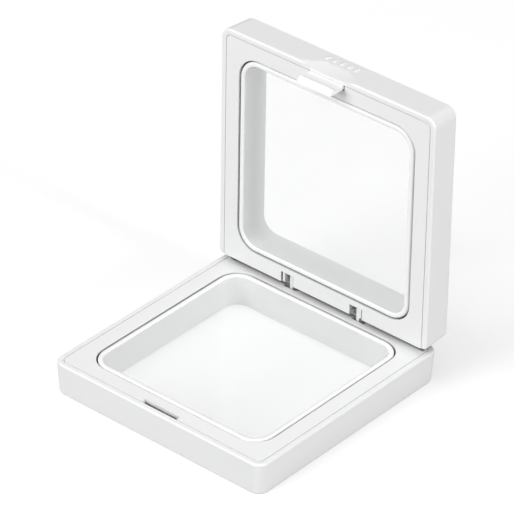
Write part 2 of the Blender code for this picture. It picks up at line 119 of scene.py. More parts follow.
class Bench:
    """The modelling steps that the pieces share, on Blender's own tools."""

    @staticmethod
    def clear_selection() -> None:
        """Leaves edit mode and deselects every object."""
        if bpy.context.object is not None and bpy.context.object.mode != "OBJECT":
            bpy.ops.object.mode_set(mode="OBJECT")
        bpy.ops.object.select_all(action="DESELECT")

    @staticmethod
    def activate(piece: bpy.types.Object) -> None:
        """Selects one object alone and makes it active."""
        Bench.clear_selection()
        piece.select_set(True)
        bpy.context.view_layer.objects.active = piece

    @staticmethod
    def name(piece: bpy.types.Object, name: str) -> bpy.types.Object:
        """Names an object and its mesh."""
        piece.name = name
        piece.data.name = name
        return piece

    @staticmethod
    def outline(piece: bpy.types.Object, section: Section) -> None:
        """Adds one outline to the mesh in edit mode: a plane with rounded corners and no face.

        Args:
            piece: The object in edit mode.
            section: The outline to add.
        """
        bpy.ops.mesh.primitive_plane_add(size=2 * section.half, location=(0, 0, -section.depth))
        mesh = bmesh.from_edit_mesh(piece.data)
        added = [vert for vert in mesh.verts if vert.select]
        back = [vert for vert in added if vert.co.y > 0]
        front = [vert for vert in added if vert.co.y <= 0]
        if section.back is not None:
            for vert in back:
                vert.co.y = section.back
        back_corner = section.corner if section.back_corner is None else section.back_corner
        bmesh.update_edit_mesh(piece.data)
        if back_corner == section.corner:
            bpy.ops.mesh.bevel(offset=section.corner, segments=CORNER_SEGMENTS, affect="VERTICES")
            bpy.ops.mesh.delete(type="ONLY_FACE")
            return
        for vert in front:
            vert.select_set(False)
        mesh.select_flush_mode()
        bmesh.update_edit_mesh(piece.data)
        bpy.ops.mesh.bevel(offset=back_corner, segments=CORNER_SEGMENTS, affect="VERTICES")
        bpy.ops.mesh.select_linked()
        mesh = bmesh.from_edit_mesh(piece.data)
        corner_y = -section.half + ON_OUTLINE
        for vert in mesh.verts:
            if vert.select and vert.co.y > corner_y:
                vert.select_set(False)
        mesh.select_flush_mode()
        bmesh.update_edit_mesh(piece.data)
        bpy.ops.mesh.bevel(offset=section.corner, segments=CORNER_SEGMENTS, affect="VERTICES")
        bpy.ops.mesh.select_linked()
        bpy.ops.mesh.delete(type="ONLY_FACE")

    @staticmethod
    def framed(name: str, sections: Sequence[Section]) -> bpy.types.Object:
        """Models a square frame by bridging outlines in turn, and the last back to the first.

        Args:
            name: The piece's name.
            sections: The outlines, in order round the frame's profile.

        Returns:
            The closed frame.
        """
        Bench.clear_selection()
        bpy.ops.mesh.primitive_plane_add(size=MM)
        piece = Bench.name(bpy.context.object, name)
        bpy.ops.object.mode_set(mode="EDIT")
        bpy.ops.mesh.delete(type="VERT")
        for near, far in zip(sections, [*sections[1:], sections[0]]):
            Bench.outline(piece, near)
            Bench.outline(piece, far)
            bpy.ops.mesh.select_all(action="SELECT")
            bpy.ops.mesh.bridge_edge_loops()
            bpy.ops.mesh.select_all(action="SELECT")
            bpy.ops.mesh.hide(unselected=False)
        bpy.ops.mesh.reveal(select=True)
        bpy.ops.mesh.select_all(action="SELECT")
        bpy.ops.mesh.remove_doubles(threshold=MERGE)
        bpy.ops.mesh.normals_make_consistent(inside=False)
        bpy.ops.object.mode_set(mode="OBJECT")
        return piece

    @staticmethod
    def slab(name: str, top: Section, bottom: Section) -> bpy.types.Object:
        """Models a solid slab between two outlines.

        Args:
            name: The piece's name.
            top: The upper outline.
            bottom: The lower outline.

        Returns:
            The closed slab.
        """
        Bench.clear_selection()
        bpy.ops.mesh.primitive_plane_add(size=MM)
        piece = Bench.name(bpy.context.object, name)
        bpy.ops.object.mode_set(mode="EDIT")
        bpy.ops.mesh.delete(type="VERT")
        Bench.outline(piece, top)
        Bench.outline(piece, bottom)
        bpy.ops.mesh.select_all(action="SELECT")
        bpy.ops.mesh.bridge_edge_loops()
        bpy.ops.mesh.select_all(action="DESELECT")
        bpy.ops.mesh.select_non_manifold()
        bpy.ops.mesh.fill_holes(sides=0)
        bpy.ops.mesh.select_all(action="SELECT")
        bpy.ops.mesh.normals_make_consistent(inside=False)
        bpy.ops.object.mode_set(mode="OBJECT")
        return piece

    @staticmethod
    def block(name: str, low: Sequence[float], high: Sequence[float]) -> bpy.types.Object:
        """Adds a box between two corners."""
        low, high = Vector(low), Vector(high)
        Bench.clear_selection()
        bpy.ops.mesh.primitive_cube_add(size=1, location=(low + high) / 2, scale=high - low)
        bpy.ops.object.transform_apply(location=True, rotation=True, scale=True)
        return Bench.name(bpy.context.object, name)

    @staticmethod
    def rod(
        name: str, radius: float, low_x: float, high_x: float, y: float = 0.0, z: float = 0.0, sides: int = 48
    ) -> bpy.types.Object:
        """Adds a round bar along x.

        Args:
            name: The bar's name.
            radius: Its radius.
            low_x: Where it starts.
            high_x: Where it ends.
            y: Its axis's y.
            z: Its axis's z.
            sides: How many sides its circle has.

        Returns:
            The bar.
        """
        Bench.clear_selection()
        bpy.ops.mesh.primitive_cylinder_add(
            vertices=sides,
            radius=radius,
            depth=high_x - low_x,
            location=((low_x + high_x) / 2, y, z),
            rotation=(0, math.radians(90), 0),
        )
        bpy.ops.object.transform_apply(location=True, rotation=True, scale=True)
        return Bench.name(bpy.context.object, name)

    @staticmethod
    def round_edges(
        piece: bpy.types.Object,
        chosen: Callable[[Vector, Vector], bool],
        radius: float,
        segments: int,
    ) -> None:
        """Bevels the edges that a rule picks by their two ends.

        Args:
            piece: The mesh object.
            chosen: Says whether an edge between two points is rounded.
            radius: The fillet's radius.
            segments: How many facets the fillet has.
        """
        Bench.activate(piece)
        bpy.ops.object.mode_set(mode="EDIT")
        bpy.ops.mesh.select_mode(type="EDGE")
        bpy.ops.mesh.select_all(action="DESELECT")
        mesh = bmesh.from_edit_mesh(piece.data)
        for edge in mesh.edges:
            edge.select_set(chosen(edge.verts[0].co, edge.verts[1].co))
        bmesh.update_edit_mesh(piece.data)
        bpy.ops.mesh.bevel(offset=radius, segments=segments, profile=0.5, affect="EDGES", clamp_overlap=True)
        bpy.ops.mesh.select_mode(type="VERT")
        bpy.ops.object.mode_set(mode="OBJECT")

    @staticmethod
    def boolean(piece: bpy.types.Object, tools: Sequence[bpy.types.Object], way: Way) -> None:
        """Cuts a piece by some tools, or joins them to it, and removes the tools."""
        for tool in tools:
            Bench.activate(piece)
            modifier = piece.modifiers.new(tool.name, "BOOLEAN")
            modifier.operation = way.value
            modifier.solver = "EXACT"
            modifier.object = tool
            bpy.ops.object.modifier_apply(modifier=modifier.name)
            bpy.data.objects.remove(tool)

    @staticmethod
    def finish(piece: bpy.types.Object, placement: Matrix, smooth_angle: float = 32.0) -> bpy.types.Object:
        """Cleans a piece, shades it, and moves it from its own plan to its place in the frame.

        Args:
            piece: The modelled piece.
            placement: From the half's plan to the frame.
            smooth_angle: Edges sharper than this many degrees stay sharp.

        Returns:
            The piece.
        """
        Bench.activate(piece)
        bpy.ops.object.mode_set(mode="EDIT")
        bpy.ops.mesh.select_all(action="SELECT")
        bpy.ops.mesh.remove_doubles(threshold=MERGE)
        bpy.ops.mesh.dissolve_degenerate(threshold=MERGE)
        bpy.ops.object.mode_set(mode="OBJECT")
        piece.matrix_world = placement
        bpy.ops.object.transform_apply(location=True, rotation=True, scale=True)
        bpy.ops.object.shade_smooth_by_angle(angle=math.radians(smooth_angle))
        weighted = piece.modifiers.new("even_flats", "WEIGHTED_NORMAL")
        weighted.keep_sharp = True
        weighted.weight = 80
        bpy.ops.object.modifier_apply(modifier=weighted.name)
        return piece


class Effects:
    """Shader node groups that several finishes use, each built once."""

    @staticmethod
    def _group(name: str, inputs: dict[str, float], outputs: dict[str, str]) -> bpy.types.NodeTree:
        """Starts a group with float inputs and the named outputs."""
        tree = bpy.data.node_groups.new(name, "ShaderNodeTree")
        for label, value in inputs.items():
            socket = tree.interface.new_socket(label, in_out="INPUT", socket_type="NodeSocketFloat")
            socket.default_value = value
        for label, kind in outputs.items():
            tree.interface.new_socket(label, in_out="OUTPUT", socket_type=kind)
        return tree

    @staticmethod
    def moulded_skin() -> bpy.types.NodeTree:
        """Returns the group for the fine skin of moulded plastic: grain, flow and handling.

        Returns:
            A group with a tone multiplier, a roughness and a normal that change over the surface.
        """
        found = bpy.data.node_groups.get("moulded_skin")
        if found:
            return found
        tree = Effects._group(
            "moulded_skin",
            {
                "Grain Size": 0.00022,
                "Grain Height": 0.05,
                "Roughness": 0.4,
                "Roughness Spread": 0.06,
                "Tone Spread": 0.012,
            },
            {"Tone": "NodeSocketFloat", "Roughness": "NodeSocketFloat", "Normal": "NodeSocketVector"},
        )
        nodes, links = tree.nodes, tree.links
        given = nodes.new("NodeGroupInput")
        result = nodes.new("NodeGroupOutput")
        place = nodes.new("ShaderNodeTexCoord")
        frequency = nodes.new("ShaderNodeMath")
        frequency.operation = "DIVIDE"
        frequency.inputs[0].default_value = 1.0
        links.new(given.outputs["Grain Size"], frequency.inputs[1])
        grain = nodes.new("ShaderNodeTexNoise")
        grain.inputs["Detail"].default_value = 3.0
        grain.inputs["Roughness"].default_value = 0.6
        links.new(place.outputs["Object"], grain.inputs["Vector"])
        links.new(frequency.outputs[0], grain.inputs["Scale"])
        bump = nodes.new("ShaderNodeBump")
        bump.inputs["Distance"].default_value = 0.00002
        links.new(given.outputs["Grain Height"], bump.inputs["Strength"])
        links.new(grain.outputs["Fac"], bump.inputs["Height"])
        links.new(bump.outputs["Normal"], result.inputs["Normal"])
        flow = nodes.new("ShaderNodeTexNoise")
        flow.inputs["Scale"].default_value = 60.0
        flow.inputs["Detail"].default_value = 5.0
        links.new(place.outputs["Object"], flow.inputs["Vector"])
        centred = nodes.new("ShaderNodeMath")
        centred.operation = "SUBTRACT"
        centred.inputs[1].default_value = 0.5
        links.new(flow.outputs["Fac"], centred.inputs[0])
        rough = nodes.new("ShaderNodeMath")
        rough.operation = "MULTIPLY_ADD"
        links.new(centred.outputs[0], rough.inputs[0])
        links.new(given.outputs["Roughness Spread"], rough.inputs[1])
        links.new(given.outputs["Roughness"], rough.inputs[2])
        links.new(rough.outputs[0], result.inputs["Roughness"])
        tone = nodes.new("ShaderNodeMath")
        tone.operation = "MULTIPLY_ADD"
        tone.inputs[2].default_value = 1.0
        links.new(centred.outputs[0], tone.inputs[0])
        links.new(given.outputs["Tone Spread"], tone.inputs[1])
        links.new(tone.outputs[0], result.inputs["Tone"])
        return tree


    @staticmethod
    def painted_crevice_shade() -> bpy.types.NodeTree:
        """Returns the group for painted shade: an ambient occlusion mask that darkens the colour in seams and
        pockets.

        Returns:
            A group with a tone multiplier for the painted shade: 1 in the open, less in a crevice.
        """
        found = bpy.data.node_groups.get("painted_crevice_shade")
        if found:
            return found
        tree = Effects._group(
            "painted_crevice_shade", {"Reach": 0.005, "Shade": 0.5, "Open": 0.38}, {"Tone": "NodeSocketFloat"}
        )
        nodes, links = tree.nodes, tree.links
        given = nodes.new("NodeGroupInput")
        result = nodes.new("NodeGroupOutput")
        # Painted shade: ambient occlusion, turned into a darker tone where the surface is hemmed in.
        sky = nodes.new("ShaderNodeAmbientOcclusion")
        sky.samples = 12
        links.new(given.outputs["Reach"], sky.inputs["Distance"])
        dark = nodes.new("ShaderNodeMath")
        dark.operation = "SUBTRACT"
        dark.inputs[0].default_value = 1.0
        links.new(given.outputs["Shade"], dark.inputs[1])
        spread = nodes.new("ShaderNodeMapRange")
        spread.interpolation_type = "SMOOTHSTEP"
        spread.inputs["From Min"].default_value = 0.0
        spread.inputs["To Max"].default_value = 1.0
        links.new(sky.outputs["AO"], spread.inputs["Value"])
        links.new(given.outputs["Open"], spread.inputs["From Max"])
        links.new(dark.outputs[0], spread.inputs["To Min"])
        links.new(spread.outputs["Result"], result.inputs["Tone"])
        return tree


@dataclass(frozen=True)
class MouldedPlastic:
    """White moulded plastic with a fine skin, and painted shade in its crevices where shade is set.

    Args:
        name: The material's name.
        colour: Its own colour.
        roughness: How matt the skin is.
        grain: How strongly the skin's grain shows.
        specular: How much it shines head on.
        shade: How strongly painted shade, from ambient occlusion, darkens its crevices, seams and pockets.
    """

    name: str
    colour: tuple[float, float, float]
    roughness: float
    grain: float
    specular: float = 0.5
    shade: float = 0.0

    def material(self) -> bpy.types.Material:
        """Builds the material, or returns it if it was built before."""
        found = bpy.data.materials.get(self.name)
        if found:
            return found
        material = bpy.data.materials.new(self.name)
        material.use_nodes = True
        nodes, links = material.node_tree.nodes, material.node_tree.links
        shader = nodes["Principled BSDF"]
        shader.inputs["Specular IOR Level"].default_value = self.specular
        shader.inputs["IOR"].default_value = 1.5
        skin = nodes.new("ShaderNodeGroup")
        skin.node_tree = Effects.moulded_skin()
        skin.inputs["Roughness"].default_value = self.roughness
        skin.inputs["Grain Height"].default_value = self.grain
        tint = nodes.new("ShaderNodeVectorMath")
        tint.operation = "SCALE"
        tint.inputs[0].default_value = self.colour
        links.new(skin.outputs["Tone"], tint.inputs["Scale"])
        # Painted shade: an ambient occlusion mask darkens the colour in seams, gaps and pockets.
        if self.shade:
            painted_crevice_shade = nodes.new("ShaderNodeGroup")
            painted_crevice_shade.node_tree = Effects.painted_crevice_shade()
            painted_crevice_shade.inputs["Shade"].default_value = self.shade
            tone = nodes.new("ShaderNodeMath")
            tone.operation = "MULTIPLY"
            links.new(skin.outputs["Tone"], tone.inputs[0])
            links.new(painted_crevice_shade.outputs["Tone"], tone.inputs[1])
            links.new(tone.outputs[0], tint.inputs["Scale"])
        links.new(tint.outputs["Vector"], shader.inputs["Base Color"])
        links.new(skin.outputs["Roughness"], shader.inputs["Roughness"])
        links.new(skin.outputs["Normal"], shader.inputs["Normal"])
        return material


@dataclass(frozen=True)
class StretchedFilm:
    """Clear elastic film, stretched flat, that mirrors what stands over it.

    Args:
        name: The material's name.
        ior: Its index of refraction.
        roughness: How much it blurs what it mirrors.
        tint: The colour it passes.
    """

    name: str
    ior: float
    roughness: float
    tint: tuple[float, float, float]

    def material(self) -> bpy.types.Material:
        """Builds the material: clear to the camera, and open to lamps."""
        found = bpy.data.materials.get(self.name)
        if found:
            return found
        material = bpy.data.materials.new(self.name)
        material.use_nodes = True
        nodes, links = material.node_tree.nodes, material.node_tree.links
        shader = nodes["Principled BSDF"]
        shader.inputs["Base Color"].default_value = (*self.tint, 1.0)
        shader.inputs["Roughness"].default_value = self.roughness
        shader.inputs["IOR"].default_value = self.ior
        shader.inputs["Transmission Weight"].default_value = 1.0
        waves = nodes.new("ShaderNodeTexNoise")
        waves.inputs["Scale"].default_value = 45.0
        waves.inputs["Detail"].default_value = 1.0
        place = nodes.new("ShaderNodeTexCoord")
        links.new(place.outputs["Object"], waves.inputs["Vector"])
        bump = nodes.new("ShaderNodeBump")
        bump.inputs["Strength"].default_value = 0.08
        bump.inputs["Distance"].default_value = 0.00003
        links.new(waves.outputs["Fac"], bump.inputs["Height"])
        links.new(bump.outputs["Normal"], shader.inputs["Normal"])
        clear = nodes.new("ShaderNodeBsdfTransparent")
        mirrored = nodes.new("ShaderNodeFresnel")
        mirrored.inputs["IOR"].default_value = self.ior
        passed = nodes.new("ShaderNodeMath")
        passed.operation = "SUBTRACT"
        passed.inputs[0].default_value = 1.0
        links.new(mirrored.outputs["Fac"], passed.inputs[1])
        links.new(passed.outputs[0], clear.inputs["Color"])
        ray = nodes.new("ShaderNodeLightPath")
        lamp_or_soft = nodes.new("ShaderNodeMath")
        lamp_or_soft.operation = "MAXIMUM"
        links.new(ray.outputs["Is Shadow Ray"], lamp_or_soft.inputs[0])
        links.new(ray.outputs["Is Diffuse Ray"], lamp_or_soft.inputs[1])
        mix = nodes.new("ShaderNodeMixShader")
        links.new(lamp_or_soft.outputs[0], mix.inputs["Fac"])
        links.new(shader.outputs["BSDF"], mix.inputs[1])
        links.new(clear.outputs["BSDF"], mix.inputs[2])
        links.new(mix.outputs["Shader"], nodes["Material Output"].inputs["Surface"])
        return material


@dataclass(frozen=True)
class DrawnSteel:
    """Drawn steel wire, with fine lines along it.

    Args:
        name: The material's name.
        colour: Its own colour.
        roughness: How matt it is.
        spread: How far the fine lines change its roughness, up and down.
    """

    name: str
    colour: tuple[float, float, float]
    roughness: float
    spread: float = 0.08

    def material(self) -> bpy.types.Material:
        """Builds the material, or returns it if it was built before."""
        found = bpy.data.materials.get(self.name)
        if found:
            return found
        material = bpy.data.materials.new(self.name)
        material.use_nodes = True
        nodes, links = material.node_tree.nodes, material.node_tree.links
        shader = nodes["Principled BSDF"]
        shader.inputs["Base Color"].default_value = (*self.colour, 1.0)
        shader.inputs["Metallic"].default_value = 1.0
        place = nodes.new("ShaderNodeTexCoord")
        along = nodes.new("ShaderNodeMapping")
        along.inputs["Scale"].default_value = (300.0, 9000.0, 9000.0)
        lines = nodes.new("ShaderNodeTexNoise")
        lines.inputs["Scale"].default_value = 1.0
        links.new(place.outputs["Object"], along.inputs["Vector"])
        links.new(along.outputs["Vector"], lines.inputs["Vector"])
        spread = nodes.new("ShaderNodeMapRange")
        spread.inputs["To Min"].default_value = self.roughness - self.spread
        spread.inputs["To Max"].default_value = self.roughness + self.spread
        links.new(lines.outputs["Fac"], spread.inputs["Value"])
        links.new(spread.outputs["Result"], shader.inputs["Roughness"])
        return material


# The shell and the face frame carry painted shade in their seams and pockets; the ring carries none.
WHITE_SHELL = MouldedPlastic("white_shell_plastic", (0.86, 0.862, 0.865), 0.38, 0.10, shade=0.95)
WHITE_PLATE = MouldedPlastic("white_plate_plastic", (0.86, 0.862, 0.865), 0.42, 0.14, shade=0.95)
WHITE_RING = MouldedPlastic("white_ring_plastic", (0.93, 0.932, 0.934), 0.30, 0.05)
CLEAR_FILM = StretchedFilm("clear_film", 1.47, 0.012, (0.985, 0.99, 0.99))
PIN_STEEL = DrawnSteel("pin_steel", (0.62, 0.62, 0.63), 0.3)


@dataclass
class CaseHalf:
    """What the base and the lid share: shell, face frame, film ring and film.

    Args:
        name: Which half it is, as in its CAD nodes.
        thickness: From the inner face to the outer face.
        placement: From the half's plan to the frame.
    """

    name: str
    thickness: float
    placement: Matrix
    case_half: float = 35.0 * MM
    flare: float = 0.5 * MM
    corner: float = 3.0 * MM
    mouth_half: float = 33.88 * MM
    mouth_corner: float = 1.75 * MM
    cavity_half: float = 33.0 * MM
    cavity_corner: float = 1.0 * MM
    shelf_depth: float = 1.06 * MM
    bezel: float = 1.2 * MM
    outer_edge_radius: float = 0.35 * MM
    rim_edge_radius: float = 0.55 * MM
    plate_half: float = 33.77 * MM
    plate_thickness: float = 1.0 * MM
    opening_half: float = 29.4 * MM
    ring_half: float = 28.95 * MM
    window_half: float = 27.4 * MM
    window_corner: float = 4.6 * MM
    lip_radius: float = 0.6 * MM
    flange_half: float = 30.6 * MM
    flange_thickness: float = 1.0 * MM
    film_depth: float = 0.2 * MM
    film_thickness: float = 0.2 * MM
    fit_gap: float = 0.3 * MM
    soft_edge: float = 0.2 * MM
    crisp_edge: float = 0.06 * MM
    hinge_centre: float = 11.75 * MM
    notch_width: float = 4.3 * MM
    slot_half: float = 5.9 * MM
    slot_back: float = 32.35 * MM
    over: float = 1.0 * MM

    def window_like(self, half: float, depth: float) -> Section:
        """Returns an outline that runs evenly round the window."""
        return Section(half, self.window_corner + half - self.window_half, depth)

    def wall_half(self, depth: float) -> float:
        """Returns how far the sloping outer wall stands from the middle at a depth."""
        return self.case_half + self.flare * (1 - depth / self.thickness)

    def wall_outline(self, depth: float) -> Section:
        """Returns the outer wall's outline at a depth."""
        half = self.wall_half(depth)
        return Section(half, self.corner * half / self.case_half, depth)

    def mouth_outline(self, depth: float) -> Section:
        """Returns the outline inside the rim at a depth."""
        return Section(self.mouth_half, self.mouth_corner, depth)

    def plate_outline(self, depth: float) -> Section:
        """Returns the face frame's outer outline at a depth."""
        return Section(self.plate_half, self.mouth_corner - self.mouth_half + self.plate_half, depth)

    def model_shell(self) -> bpy.types.Object:
        """Models the tray: sloping walls, a ledge for the face frame, and the framed window."""
        floor = self.thickness - self.bezel
        mouth_edge, outer_edge = self.wall_outline(0), self.wall_outline(self.thickness)
        window_edge = self.window_like(self.opening_half, self.thickness)
        inner_edge = self.mouth_outline(0)
        piece = Bench.framed(
            f"{self.name}_tray",
            [
                mouth_edge,
                outer_edge,
                window_edge,
                self.window_like(self.opening_half, floor),
                Section(self.cavity_half, self.cavity_corner, floor),
                Section(self.cavity_half, self.cavity_corner, self.shelf_depth),
                self.mouth_outline(self.shelf_depth),
                inner_edge,
            ],
        )
        self.round_outline(piece, outer_edge, self.outer_edge_radius, 5)
        self.round_outline(piece, mouth_edge, self.rim_edge_radius, 6)
        self.round_outline(piece, window_edge, self.soft_edge, 3)
        self.round_outline(piece, inner_edge, self.crisp_edge, 2)
        return piece

    @staticmethod
    def round_outline(piece: bpy.types.Object, outline: Section, radius: float, segments: int) -> None:
        """Rounds the edge that runs right round a framed piece at one outline."""
        Bench.round_edges(
            piece, lambda first, second: outline.holds(first) and outline.holds(second), radius, segments
        )

    def model_plate(self) -> bpy.types.Object:
        """Models the flat face frame round the film ring."""
        outer, inner = self.plate_outline(0), self.window_like(self.opening_half, 0)
        piece = Bench.framed(
            f"{self.name}_face_frame",
            [
                outer,
                self.plate_outline(self.plate_thickness),
                self.window_like(self.opening_half, self.plate_thickness),
                inner,
            ],
        )
        self.round_outline(piece, outer, self.crisp_edge, 2)
        self.round_outline(piece, inner, self.soft_edge / 2, 3)
        return piece

    def model_ring(self) -> bpy.types.Object:
        """Models the deep ring that carries the film, with its rounded lip and its foot in the shell."""
        foot = self.thickness - self.bezel - self.fit_gap
        end = self.thickness - self.fit_gap
        outer_lip, inner_lip = self.window_like(self.ring_half, 0), self.window_like(self.window_half, 0)
        inner_end = self.window_like(self.window_half, end)
        piece = Bench.framed(
            f"{self.name}_film_hoop",
            [
                outer_lip,
                self.window_like(self.ring_half, foot - self.flange_thickness),
                self.window_like(self.flange_half, foot - self.flange_thickness),
                self.window_like(self.flange_half, foot),
                self.window_like(self.ring_half, foot),
                self.window_like(self.ring_half, end),
                inner_end,
                inner_lip,
            ],
        )
        self.round_outline(piece, outer_lip, self.lip_radius, 7)
        self.round_outline(piece, inner_lip, self.lip_radius, 7)
        self.round_outline(piece, inner_end, self.soft_edge, 3)
        return piece

    def model_film(self) -> bpy.types.Object:
        """Models the film, stretched flat just below the ring's lip."""
        top, bottom = self.film_depth, self.film_depth + self.film_thickness
        half = self.window_half - 0.01 * MM
        return Bench.slab(
            f"{self.name}_clear_film", self.window_like(half, top), self.window_like(half, bottom)
        )

    def slot_tool(self) -> bpy.types.Object:
        """Returns the cutter for the latch notch in the face frame's front edge."""
        return Bench.block(
            "slot_tool",
            (-self.slot_half, -self.mouth_half - self.over, -self.plate_thickness - self.over),
            (self.slot_half, -self.slot_back, self.over),
        )

    def notch_tools(self, front_y: float, depth: float) -> list[bpy.types.Object]:
        """Returns the cutters for the two hinge openings at the back edge."""
        return [
            Bench.block(
                "notch_tool",
                (side * self.hinge_centre - self.notch_width / 2, front_y, -depth),
                (side * self.hinge_centre + self.notch_width / 2, self.case_half + 2 * self.over, self.over),
            )
            for side in (-1, 1)
        ]

    def dress(
        self, piece: bpy.types.Object, material: bpy.types.Material, node: str, body: str, slot: str
    ) -> None:
        """Finishes a piece: its place, its material, and what it stands for in the frame."""
        Bench.finish(piece, self.placement)
        piece.data.materials.clear()
        piece.data.materials.append(material)
        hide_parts(node)
        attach(piece, body)
        LOG.info("%s: %d faces, rides on %s", piece.name, len(piece.data.polygons), body)


@dataclass
class Base(CaseHalf):
    """The lower half, with the hinge ears and the catch behind the latch slot."""

    hinge_y: float = 32.8 * MM
    hinge_z: float = 3.2 * MM
    ear_centre: float = 11.4 * MM
    ear_thickness: float = 0.96 * MM
    ear_radius: float = 1.45 * MM
    bore_radius: float = 0.74 * MM
    pocket_front: float = 31.0 * MM
    relief_front: float = 31.6 * MM
    relief_half: float = 33.1 * MM
    relief_depth: float = 0.45 * MM
    barb_room: tuple[float, float] = (2.8 * MM, 5.8 * MM)
    catch_wall: float = 34.6 * MM

    def relief_tool(self, depth: float) -> bpy.types.Object:
        """Returns the cutter that lowers the back edge, where the turning lid passes."""
        return Bench.block(
            "relief_tool",
            (-self.relief_half, self.relief_front, -depth),
            (self.relief_half, self.case_half + 2 * self.over, self.over),
        )

    def ears(self) -> tuple[list[bpy.types.Object], list[bpy.types.Object]]:
        """Models the two hinge ears.

        Returns:
            The bodies to join to the shell, and the bores to cut from them.
        """
        bodies, bores = [], []
        floor = self.bezel / 2 - self.thickness
        for side in (-1, 1):
            low_x = side * self.ear_centre - self.ear_thickness / 2
            high_x = low_x + self.ear_thickness
            post = Bench.block(
                "ear_post",
                (low_x, self.hinge_y - self.ear_radius, floor),
                (high_x, self.hinge_y + self.ear_radius, self.hinge_z),
            )
            head = Bench.rod("ear_head", self.ear_radius, low_x, high_x, self.hinge_y, self.hinge_z, 64)
            Bench.boolean(post, [head], Way.JOIN)
            bodies.append(post)
            bores.append(
                Bench.rod(
                    "ear_bore",
                    self.bore_radius,
                    low_x - self.over / 2,
                    high_x + self.over / 2,
                    self.hinge_y,
                    self.hinge_z,
                )
            )
        return bodies, bores

    def build(self) -> None:
        """Models, dresses and seats every piece of the base."""
        shell = self.model_shell()
        barb_top, barb_bottom = self.barb_room
        catch = Bench.block(
            "catch_tool",
            (-self.slot_half, -self.catch_wall, -barb_bottom),
            (self.slot_half, -self.cavity_half + self.over, -barb_top),
        )
        ledge = Bench.block(
            "ledge_tool",
            (-self.slot_half, -self.mouth_half, -barb_bottom),
            (self.slot_half, -self.cavity_half + self.over, -self.shelf_depth / 2),
        )
        Bench.boolean(shell, [catch, ledge, self.relief_tool(self.relief_depth)], Way.CUT)
        bodies, bores = self.ears()
        Bench.boolean(shell, bodies, Way.JOIN)
        Bench.boolean(shell, bores, Way.CUT)
        self.dress(shell, WHITE_SHELL.material(), "base_shell", "base", "shell_plastic")
        plate = self.model_plate()
        tools = self.notch_tools(self.pocket_front, self.plate_thickness + self.over)
        channel = self.relief_tool(self.plate_thickness + self.over)
        Bench.boolean(plate, [self.slot_tool(), *tools, channel], Way.CUT)
        self.dress(plate, WHITE_PLATE.material(), "base_face_plate", "base", "plate_plastic")
        self.dress(self.model_ring(), WHITE_RING.material(), "base_film_ring", "base", "ring_plastic")
        self.dress(self.model_film(), CLEAR_FILM.material(), "base_film", "base", "clear_film")


